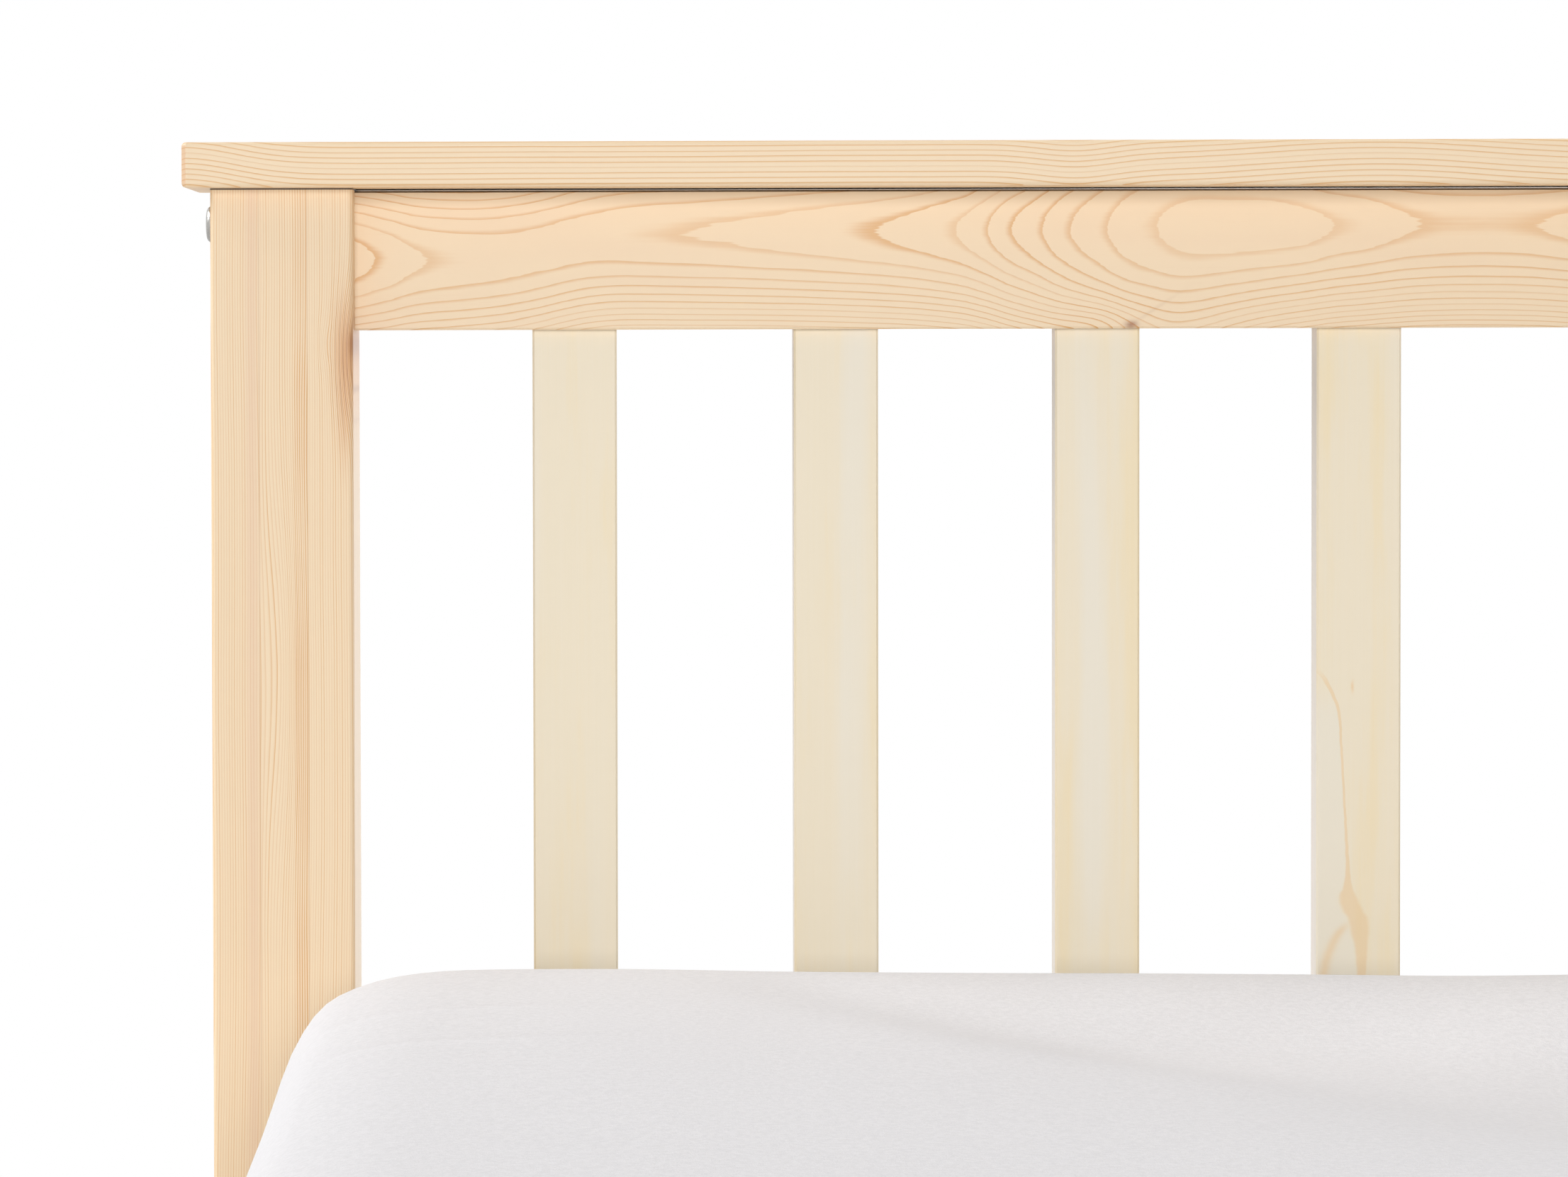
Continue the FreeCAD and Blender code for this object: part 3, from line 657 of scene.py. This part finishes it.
boltMake = {
    "head": 7.5 * mm,
    "flat": 4.9 * mm,         # radius of the flat on top of the head
    "height": 3.4 * mm,
    "socket": 2.6 * mm,
    "socketDepth": 2.3 * mm,
    "shank": 3.0 * mm,
    "grip": 84 * mm,
    "topDrop": 13 * mm,       # the upper bolts' depth below the top rail's upper edge
    "corners": 6,
    "chamfer": 0.3 * mm,
}
screwMake = {
    "head": 4.0 * mm,
    "height": 0.6 * mm,
    "socket": 1.9 * mm,
    "socketDepth": 0.5 * mm,
    "corners": 4,
    "chamfer": 0.3 * mm,
    "sunk": 0.2 * mm,
    "rim": 0.25 * mm,
    "ledgerPitch": 0.300,
    "slatSpread": 0.018,      # half the distance between the two screws in a slat's end
    "hangerInset": 0.008,
    "hangerLifts": (0.014, 0.036),
    "hangerWall": 0.002,
}


sharpFrom = 32   # degrees


def turned(profile, steps=36):
    # a profile of (radius, height) points, turned round Z
    shape = bmesh.new()
    dots = [shape.verts.new((radius, 0, height)) for radius, height in profile]
    edges = [shape.edges.new(pair) for pair in zip(dots, dots[1:])]
    bmesh.ops.spin(shape, geom=dots + edges, cent=(0, 0, 0), axis=(0, 0, 1), angle=math.tau,
                   steps=steps, use_merge=True)
    bmesh.ops.remove_doubles(shape, verts=shape.verts, dist=0.00001)
    bmesh.ops.recalc_face_normals(shape, faces=shape.faces)
    return shape


def carveSocket(shape, make, floor):
    # pull the round recess in between its corners: a hexagon with six, a cross with four
    radius, corners, near = make["socket"], make["corners"], 0.02 * mm
    step = math.tau / corners
    for vert in shape.verts:
        reach = math.hypot(vert.co.x, vert.co.y)
        if abs(reach - radius) < near and vert.co.z > floor - 0.1 * mm:
            angle = math.atan2(vert.co.y, vert.co.x) % step - step / 2
            hexagon = math.cos(step / 2) / math.cos(angle)
            cross = 0.45 + 0.55 * abs(angle) * 2 / step
            pull = hexagon if corners == 6 else cross
            vert.co.x *= pull
            vert.co.y *= pull


def boltShape():
    make = boltMake
    head, flat, height, socket = make["head"], make["flat"], make["height"], make["socket"]
    floor = height - make["socketDepth"]
    dome = [(flat + (head - flat) * math.sin(swing), floor + make["socketDepth"] * math.cos(swing))
            for swing in (math.radians(angle) for angle in (0, 22, 45, 67, 90))]
    shape = turned([(0, floor), (socket, floor), (socket, height - make["chamfer"]),
                    (socket + make["chamfer"], height)] + dome + [(head, 0), (make["shank"], 0),
                    (make["shank"], -make["grip"]), (0, -make["grip"])])
    carveSocket(shape, make, floor)
    return shape


def screwShape():
    make = screwMake
    head, height, socket = make["head"], make["height"], make["socket"]
    floor = height - make["socketDepth"]
    shape = turned([(0, floor), (socket, floor), (socket, height), (head - make["chamfer"], height),
                    (head, make["rim"]), (head, -make["sunk"]), (0, -make["sunk"])])
    carveSocket(shape, make, floor)
    return shape


def spread(name, master, spots, material):
    # copies of one shape, each turned to its own direction and moved to its own place
    mesh = bpy.data.meshes.new(name + "Master")
    master.to_mesh(mesh)
    master.free()
    shape = bmesh.new()
    for place, way in spots:
        first = len(shape.verts)
        shape.from_mesh(mesh)
        shape.verts.ensure_lookup_table()
        turn = Vector((0, 0, 1)).rotation_difference(Vector(way)).to_matrix().to_4x4()
        bmesh.ops.transform(shape, matrix=Matrix.Translation(place) @ turn, verts=shape.verts[first:])
    bpy.data.meshes.remove(mesh)
    piece = meshObject(name, shape, material)
    for face in piece.data.polygons:
        face.use_smooth = True
    piece.data.set_sharp_from_angle(angle=math.radians(sharpFrom))
    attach(piece, "frame")
    return piece


def middleOf(node):
    low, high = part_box(node)
    return (low + high) / 2


def makeBolts():
    panelSpots, sideSpots = [], []
    for end, wayY in (("head", 1), ("foot", -1)):
        heights = (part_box(f"{end}_top_rail")[1].z - boltMake["topDrop"],
                   middleOf(f"{end}_bottom_rail").z)
        for hand, wayX in (("left", -1), ("right", 1)):
            post, rail = middleOf(f"{end}_post_{hand}"), middleOf(f"side_rail_{hand}")
            low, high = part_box(f"{end}_post_{hand}")
            half = (high.x - low.x) / 2
            panelSpots += [((post.x + wayX * half, post.y, height), (wayX, 0, 0)) for height in heights]
            sideSpots.append(((rail.x, post.y + wayY * half, rail.z), (0, wayY, 0)))
    for name, spots, node in (("panelBolts", panelSpots, "panel_bolts"),
                              ("sideRailBolts", sideSpots, "side_rail_bolts")):
        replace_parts(spread(name, boltShape(), spots, steel), node)


def makeScrews():
    # ledger screws from inside, the end slats' screws from above, and four in each hanger
    make, spots = screwMake, []
    for hand, wayX in (("left", -1), ("right", 1)):
        low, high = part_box(f"ledger_{hand}")
        face = high.x if wayX < 0 else low.x
        count = int((high.y - low.y) / make["ledgerPitch"])
        for number in range(count + 1):
            along = (number - count / 2) * make["ledgerPitch"]
            spots.append(((face, along, (low.z + high.z) / 2), (-wayX, 0, 0)))
        for slat in ("bed_slat_01", "bed_slat_13"):
            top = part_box(slat)[1].z
            spots += [((middleOf(f"ledger_{hand}").x, middleOf(slat).y + offset, top), (0, 0, 1))
                      for offset in (-make["slatSpread"], make["slatSpread"])]
    low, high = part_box("centre_rail_hangers")
    inset = high.x - make["hangerInset"]
    for wayY, wall in ((-1, high.y), (1, low.y)):
        face = wall + wayY * make["hangerWall"]
        spots += [((side * inset, face, low.z + lift), (0, wayY, 0))
                  for side in (-1, 1) for lift in make["hangerLifts"]]
    spread("screws", screwShape(), spots, steel)


# Mattress and sheet

mattressMake = {
    "voxel": 0.0178,
    "shrink": 0.001,          # the pad starts this much smaller all round and swells back
    "corner": 0.070,
    "topEdge": 0.044,
    "bottomEdge": 0.030,
    "edgeSteps": 8,
    "pressure": 4,
    "frames": 20,
    "mostMove": 0.004,
    "sway": (4, 0.0012),      # scale and height of the top's slow unevenness
    "upright": (0.3, 0.95),   # how far up a face must look to sink with the top
}
# A soft step runs round a rim near the head, and below it lies a shallow hollow.
rimMake = {
    "centre": (0.100, 1.050),
    "radius": 0.444,
    "begin": (184, 206),              # degrees round the rim
    "grow": (200, 230),
    "end": (226, 250),
    "width": (0.028, 0.055),
    "drop": (0.0085, 0.0110),
    "headRise": (0.76, 0.90, 0.88),   # where it rises again towards the head, and by what share
}
hollowMake = {"centre": (0.090, 0.690), "reach": 0.190, "depth": 0.038}
sheetMake = {
    "clear": 0.0008,          # off the mattress
    "cloth": 0.0009,
    "hem": 0.110,             # turned under on all four sides
    "color": (0.866, 0.854, 0.870, 1),
    "mottle": 0.9,            # the darker colour's share of the paler
    "roughness": 0.92,
    "fuzz": 420,
    "rows": 1900,
    "fuzzRise": 0.0006,
    # faint creases that run across the bed: place along it, and where they begin and end
    "creases": [(0.783, -0.460, -0.375), (0.706, -0.465, -0.365), (0.310, 0.380, 0.460)],
    "creaseRise": 0.0006,
    "creaseWidth": 0.007,
    "creaseFade": 0.02,
    "creaseSway": (6, 0.012),
}


def applyModifiers(piece):
    made = bpy.data.meshes.new_from_object(piece.evaluated_get(bpy.context.evaluated_depsgraph_get()))
    piece.modifiers.clear()
    piece.data = made


def isUpright(edge):
    first, second = edge.verts
    return abs(first.co.z - second.co.z) > 10 * mm


def edgesAt(shape, height, tolerance=0.5 * mm):
    return [edge for edge in shape.edges if all(abs(v.co.z - height) < tolerance for v in edge.verts)]


def padForm():
    low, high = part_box("mattress")
    inset = Vector((1, 1, 1)) * mattressMake["shrink"]
    low, high = low + inset, high - inset
    shape = bmesh.new()
    bmesh.ops.create_cube(shape, size=1)
    bmesh.ops.scale(shape, vec=high - low, verts=shape.verts)
    bmesh.ops.translate(shape, vec=(high + low) / 2, verts=shape.verts)

    def rounded(edges, reach):
        bmesh.ops.bevel(shape, geom=edges, offset=mattressMake[reach], profile=0.5, affect="EDGES",
                        segments=mattressMake["edgeSteps"], material=-1)

    rounded([edge for edge in shape.edges if isUpright(edge)], "corner")
    rounded(edgesAt(shape, high.z), "topEdge")
    rounded(edgesAt(shape, low.z), "bottomEdge")
    return shape


def simulatePad(piece):
    # pressure swells the pad a little, which rounds it and draws its sides in between the corners
    remesh = piece.modifiers.new("Remesh", "REMESH")
    remesh.mode = "VOXEL"
    remesh.voxel_size = mattressMake["voxel"]
    applyModifiers(piece)
    start = np.array([v.co for v in piece.data.vertices])
    cloth = piece.modifiers.new("Cloth", "CLOTH")
    cloth.settings.use_pressure = True
    cloth.settings.uniform_pressure_force = mattressMake["pressure"]
    cloth.settings.effector_weights.gravity = 0
    scene = bpy.context.scene
    cloth.point_cache.frame_end = mattressMake["frames"]
    for number in range(1, mattressMake["frames"] + 1):
        scene.frame_set(number)
    applyModifiers(piece)
    scene.frame_set(1)
    moved = np.array([v.co for v in piece.data.vertices]) - start
    reach = np.linalg.norm(moved, axis=1, keepdims=True)
    moved *= np.minimum(1, mattressMake["mostMove"] / np.maximum(reach, 1e-9))
    piece.data.vertices.foreach_set("co", (start + moved).ravel())


def fillBox(piece, node):
    # stretch a piece so that it just fills the box of its CAD solid
    points = np.array([v.co for v in piece.data.vertices])
    low, high = (np.array(corner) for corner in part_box(node))
    lowest, highest = points.min(axis=0), points.max(axis=0)
    points = low + (points - lowest) * (high - low) / (highest - lowest)
    piece.data.vertices.foreach_set("co", points.ravel())


def smoothStep(item, low, high):
    share = min(1, max(0, (item - low) / (high - low)))
    return share * share * (3 - 2 * share)


def topRelief(x, y):
    # how far the sleeping surface lies below its crown
    make, place = rimMake, Vector((x, y))
    away = place - Vector(make["centre"])
    turn = math.degrees(math.atan2(away.y, away.x)) % 360
    grown = smoothStep(turn, *make["grow"])
    width, drop = (start + (end - start) * grown for start, end in (make["width"], make["drop"]))
    ends = smoothStep(turn, *make["begin"]) * (1 - smoothStep(turn, *make["end"]))
    rim = drop * ends * smoothStep(make["radius"] - away.length, -width, width)
    low, high, share = make["headRise"]
    rest = 1 - share * smoothStep(y, low, high)
    reach = (place - Vector(hollowMake["centre"])).length / hollowMake["reach"]
    hollow = hollowMake["depth"] * math.exp(-reach * reach)
    scale, most = mattressMake["sway"]
    sway = most * noise.noise(Vector((scale * x, scale * y, 0.3)))
    return (rim + hollow) * rest - sway


def settleTop(piece):
    piece.data.update()
    for vert in piece.data.vertices:
        upright = smoothStep(vert.normal.z, *mattressMake["upright"])
        vert.co.z -= upright * topRelief(vert.co.x, vert.co.y)


ticking = {
    "color": (0.80, 0.79, 0.77, 1),
    "darker": (0.66, 0.65, 0.62, 1),
    "quilt": 0.04,            # pitch of the quilting lines
    "weave": 900,
}


def makeTicking():
    material, sheet, surface = newMaterial("mattressTicking", 0.85)
    place = sheet.put("TexCoord").outputs["Object"]
    x, y = sheet.split(place)[:2]
    quilt = sheet.times(sheet.math("PINGPONG", sheet.add(x, y), ticking["quilt"]),
                        sheet.math("PINGPONG", sheet.minus(x, y), ticking["quilt"]))
    weave = sheet.noise(place, ticking["weave"], 2)
    color = sheet.mix(sheet.times(weave, 0.4), ticking["color"], ticking["darker"])
    height = sheet.add(sheet.step(quilt, 0, 0.0003, 0, 1), sheet.times(weave, 0.05))
    finishSurface(sheet, surface, color, height, 0.003, 0.7)
    return material


def makeKnit():
    # a brushed jersey: soft mottling over very fine rows, and a few faint creases
    make = sheetMake
    material, sheet, surface = newMaterial("sheetKnit", make["roughness"])
    place = sheet.put("TexCoord").outputs["Object"]
    fuzz = sheet.noise(place, make["fuzz"], 4, 0.7)
    fine = sheet.noise(place, make["rows"], 2)
    shade = sheet.add(sheet.times(fuzz, 0.6), sheet.times(fine, 0.4))
    darker = tuple(make["mottle"] * level for level in make["color"][:3]) + (1,)
    color = sheet.mix(sheet.step(shade, 0.35, 0.65), darker, make["color"])
    sheet.tree.links.new(color, surface.inputs["Base Color"])
    surface.inputs["Specular IOR Level"].default_value = 0.15
    surface.inputs["Sheen Weight"].default_value = 0.04
    surface.inputs["Sheen Roughness"].default_value = 0.5
    x, y = sheet.split(place)[:2]
    scale, most = make["creaseSway"]
    drift = sheet.noise(sheet.vector(sheet.times(x, scale), 0, 0), 1, 1)
    sway = sheet.times(sheet.minus(drift, 0.5), most)
    creases = sheet.add(*[sheet.times(sheet.hill(sheet.add(y, sway), line, make["creaseWidth"]),
                                      sheet.between(x, left, right, make["creaseFade"]))
                          for line, left, right in make["creases"]])
    folds = sheet.put("Bump", {"Height": creases, "Distance": make["creaseRise"], "Strength": 1.0})
    bump = sheet.put("Bump", {"Height": shade, "Distance": make["fuzzRise"], "Strength": 0.35,
                              "Normal": folds.outputs["Normal"]})
    sheet.tree.links.new(bump.outputs["Normal"], surface.inputs["Normal"])
    return material


def makeMattress():
    mattress = meshObject("softMattress", padForm(), makeTicking())
    simulatePad(mattress)
    fillBox(mattress, "mattress")
    settleTop(mattress)
    smooth = mattress.modifiers.new("Smooth", "SUBSURF")
    smooth.levels = smooth.render_levels = 1
    applyModifiers(mattress)
    for face in mattress.data.polygons:
        face.use_smooth = True
    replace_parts(mattress, "mattress")
    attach(mattress, "mattress")
    return mattress


def makeSheet(mattress):
    # the mattress's own skin, moved outwards, with a window left open underneath
    make = sheetMake
    shape = bmesh.new()
    shape.from_mesh(mattress.data)
    low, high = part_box("mattress")
    shape.normal_update()
    inner = make["hem"]
    window = [face for face in shape.faces
              if face.normal.z < -0.7
              and low.x + inner < face.calc_center_median().x < high.x - inner
              and low.y + inner < face.calc_center_median().y < high.y - inner]
    bmesh.ops.delete(shape, geom=window, context="FACES")
    for vert in shape.verts:
        vert.co += vert.normal * (make["clear"] + make["cloth"] / 2)
    cloth = meshObject("fittedSheet", shape, makeKnit())
    cloth.data.materials.clear()
    cloth.data.materials.append(bpy.data.materials["sheetKnit"])
    for face in cloth.data.polygons:
        face.use_smooth = True
        face.material_index = 0
    thick = cloth.modifiers.new("Thickness", "SOLIDIFY")
    thick.thickness = make["cloth"]
    thick.offset = 0
    applyModifiers(cloth)
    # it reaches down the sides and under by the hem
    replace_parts(cloth, "fitted_sheet")
    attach(cloth, "mattress")
    return cloth


view = {
    "place": (-0.3653, -0.994, 0.790),   # above the foot of the bed, level with the cap
    "turn": -0.4,                        # degrees, to the right
    "tilt": -1.39,                       # degrees, up
    "roll": -0.14,
    "lens": 113,
    "shift": (0.15, -0.09),
}
studio = {
    "worldLight": 0.24,
    "floorRadius": 3.3,
    "floorColor": (0.9, 0.9, 0.9, 1),
    "floorEdge": (0.50, 0.98, 0.35),     # where it fades to white, and its least share of white
    "aim": (0.0, 0.6, 0.55),             # where the lamps look
}
# The key is a soft sun: where it stands, its strength and its spread in degrees.
keyLight = {"from": (-0.77, 0.02, 0.64), "strength": 2.2, "spread": 35}
# Soft lamps: place, size and power.
lamps = {
    "frontFill": ((-0.2, -4.2, 1.55), 1.6, 118),
    "topFill": ((-1.3, 1.2, 3.9), 2.5, 12),
    "backFill": ((1.6, 4.4, 1.0), 3.0, 50),
}


def turnTo(thing, way, front):
    thing.rotation_euler = way.to_track_quat(front, "Y").to_euler()


def makeStudio():
    makeCamera()
    makeWorld()
    makeLamps()
    makeFloor()


def makeCamera():
    scene = bpy.context.scene
    camera = bpy.data.objects.new("camera", bpy.data.cameras.new("camera"))
    scene.collection.objects.link(camera)
    camera.location = view["place"]
    turn = (Matrix.Rotation(-math.radians(view["turn"]), 3, "Z")
            @ Matrix.Rotation(math.radians(90 + view["tilt"]), 3, "X")
            @ Matrix.Rotation(math.radians(view["roll"]), 3, "Z"))
    camera.rotation_euler = turn.to_euler()
    camera.data.lens = view["lens"]
    camera.data.shift_x, camera.data.shift_y = view["shift"]
    scene.camera = camera
    scene.view_settings.view_transform = "Standard"


def makeWorld():
    # white to the camera and in reflections, and dimmer as a light
    world = bpy.data.worlds.new("studioWorld")
    bpy.context.scene.world = world
    world.use_nodes = True
    sheet = Sheet(world.node_tree)
    path = sheet.put("LightPath").outputs
    seen = sheet.math("MAXIMUM", path["Is Camera Ray"], path["Is Glossy Ray"])
    seen = sheet.math("MAXIMUM", seen, path["Is Transmission Ray"])
    strength = sheet.step(seen, 0, 1, studio["worldLight"], 1)
    background = world.node_tree.nodes["Background"]
    background.inputs["Color"].default_value = (1, 1, 1, 1)
    sheet.tree.links.new(strength, background.inputs["Strength"])


def makeLamps():
    scene = bpy.context.scene
    sun = bpy.data.lights.new("key", "SUN")
    sun.energy, sun.angle = keyLight["strength"], math.radians(keyLight["spread"])
    key = bpy.data.objects.new("key", sun)
    scene.collection.objects.link(key)
    turnTo(key, Vector(keyLight["from"]), "Z")
    for name, (place, size, power) in lamps.items():
        light = bpy.data.lights.new(name, "AREA")
        light.size = size
        light.energy = power
        lamp = bpy.data.objects.new(name, light)
        scene.collection.objects.link(lamp)
        lamp.location = place
        turnTo(lamp, Vector(studio["aim"]) - Vector(place), "-Z")


def makeFloor():
    # pale paint that keeps the shadow and fades into the white towards its rim
    material, sheet, surface = newMaterial("floorPaint", 0.9)
    surface.inputs["Base Color"].default_value = studio["floorColor"]
    x, y = objectPlace(sheet)[:2]
    away = sheet.math("SQRT", sheet.add(sheet.times(x, x), sheet.times(y, y)))
    start, end, least = studio["floorEdge"]
    radius = studio["floorRadius"]
    rim = sheet.step(away, start * radius, end * radius, least, 1)
    seen = sheet.put("LightPath").outputs["Is Camera Ray"]
    white = sheet.put("Emission", {"Color": (1, 1, 1, 1), "Strength": 1.0}).outputs[0]
    blend = sheet.put("MixShader", {0: sheet.times(rim, seen), 1: surface.outputs[0], 2: white})
    output = material.node_tree.nodes["Material Output"]
    sheet.tree.links.new(blend.outputs[0], output.inputs["Surface"])
    shape = bmesh.new()
    bmesh.ops.create_circle(shape, cap_ends=True, segments=96, radius=radius)
    floor = meshObject("floor", shape, material)


print("stage: studio")
makeStudio()
print("stage: frame")
steel = makeMetal()
dressFrame()
print("stage: bolts and screws")
makeBolts()
makeScrews()
print("stage: mattress")
mattress = makeMattress()
print("stage: sheet")
makeSheet(mattress)
